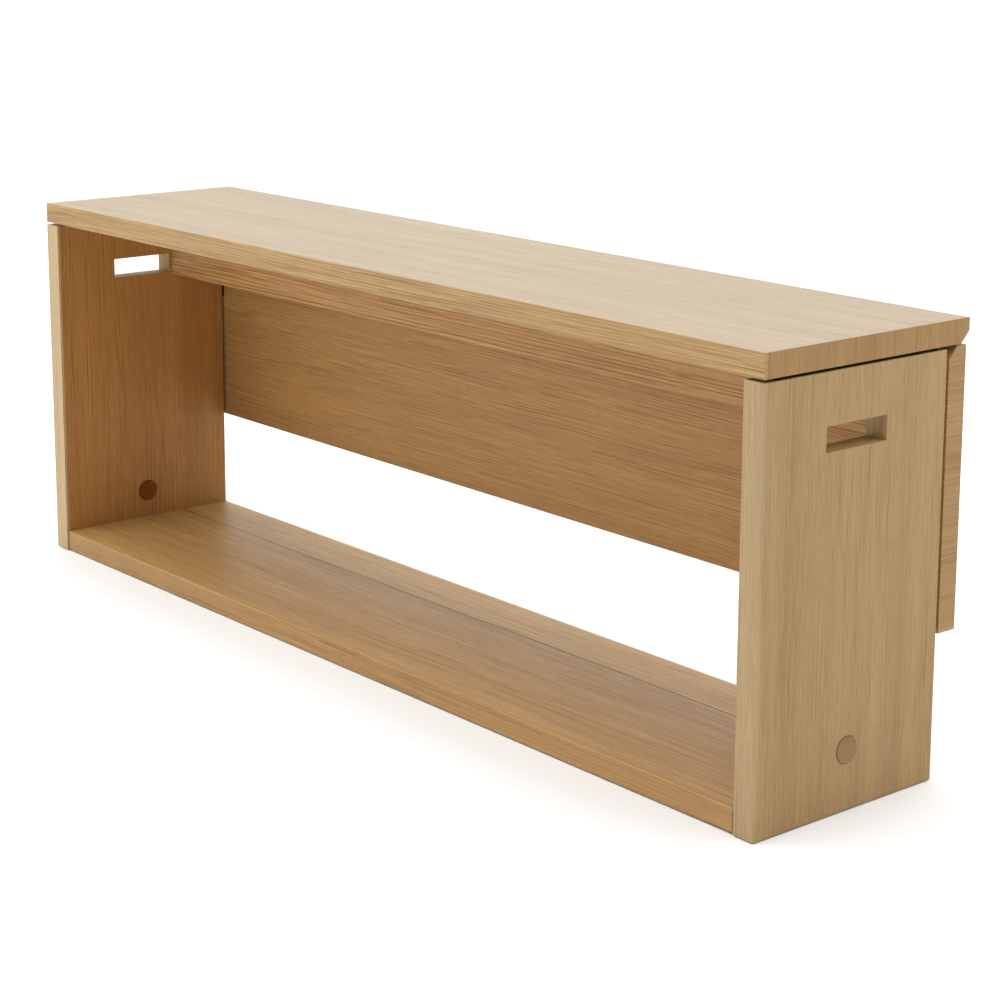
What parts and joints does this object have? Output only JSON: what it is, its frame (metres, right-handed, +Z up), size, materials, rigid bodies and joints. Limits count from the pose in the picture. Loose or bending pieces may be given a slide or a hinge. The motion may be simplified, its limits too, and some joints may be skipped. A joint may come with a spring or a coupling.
{
  "type": "extending dining table",
  "caption": "Long narrow oak table on slab sides with a floor shelf and hand slots; a hinged drop leaf rises at the rear onto sliding bars.",
  "frame": {"origin": "on the floor under the middle of the table with its leaf down", "axes": "+X along the length, -Y to the open front, +Y to the drop leaf, +Z up"},
  "size_m": [2.0024, 0.44, 0.72],
  "materials": {
    "oak_top": "satin",
    "oak_leaf": "satin",
    "oak_frame": "satin",
    "oak_shelf": "satin",
    "oak_plug": "satin",
    "knob_wood": "satin",
    "beech": "raw",
    "steel": "zinc plated",
    "spacer": "matt",
    "bumper": "matt",
    "felt": "felt"
  },
  "bodies": {
    "frame": {"angle_screws": "steel", "cam_bolts": "steel", "cam_locks": "steel", "corner_angles": "steel", "foot_pads": "felt", "hinge_body_1": "steel", "hinge_body_2": "steel", "hinge_body_3": "steel", "hinge_body_4": "steel", "hinge_body_screws": "steel", "hinge_pin_1": "steel", "hinge_pin_2": "steel", "hinge_pin_3": "steel", "hinge_pin_4": "steel", "leaf_bumpers": "bumper", "panel_edge_left": "oak_frame", "panel_edge_right": "oak_frame", "plug_left_inner": "oak_plug", "plug_left_outer": "oak_plug", "plug_right_inner": "oak_plug", "plug_right_outer": "oak_plug", "rail_dowels": "beech", "seam_dowels": "beech", "shelf_dowels": "beech", "shelf_front_board": "oak_shelf", "shelf_front_edge": "oak_shelf", "shelf_rear_board": "oak_shelf", "side_panel_left": "oak_frame", "side_panel_right": "oak_frame", "spacer_left": "spacer", "spacer_right": "spacer", "top_board": "oak_top", "top_end_left": "oak_top", "top_end_right": "oak_top", "top_front_edge": "oak_top", "top_rail": "oak_frame"},
    "leaf": {"hinge_arm_1": "steel", "hinge_arm_2": "steel", "hinge_arm_3": "steel", "hinge_arm_4": "steel", "hinge_arm_screws": "steel", "leaf_board": "oak_leaf", "leaf_end_left": "oak_leaf", "leaf_end_right": "oak_leaf", "leaf_free_edge": "oak_leaf"},
    "bar_1": {"support_bar_1": "steel", "bar_knob_1": "knob_wood"},
    "bar_2": {"support_bar_2": "steel", "bar_knob_2": "knob_wood"},
    "bar_3": {"support_bar_3": "steel", "bar_knob_3": "knob_wood"}
  },
  "joints": [
    {"name": "leaf_hinge", "type": "hinge", "parent": "frame", "child": "leaf", "pos_m": [0, 0.1973, 0.7033], "axis": [1, 0, 0], "range_deg": [0, 90]},
    {"name": "bar_1_slide", "type": "slide", "parent": "frame", "child": "bar_1", "axis": [0, 1, 0], "range_m": [0, 0.17]},
    {"name": "bar_2_slide", "type": "slide", "parent": "frame", "child": "bar_2", "axis": [0, 1, 0], "range_m": [0, 0.17]},
    {"name": "bar_3_slide", "type": "slide", "parent": "frame", "child": "bar_3", "axis": [0, 1, 0], "range_m": [0, 0.17]}
  ]
}
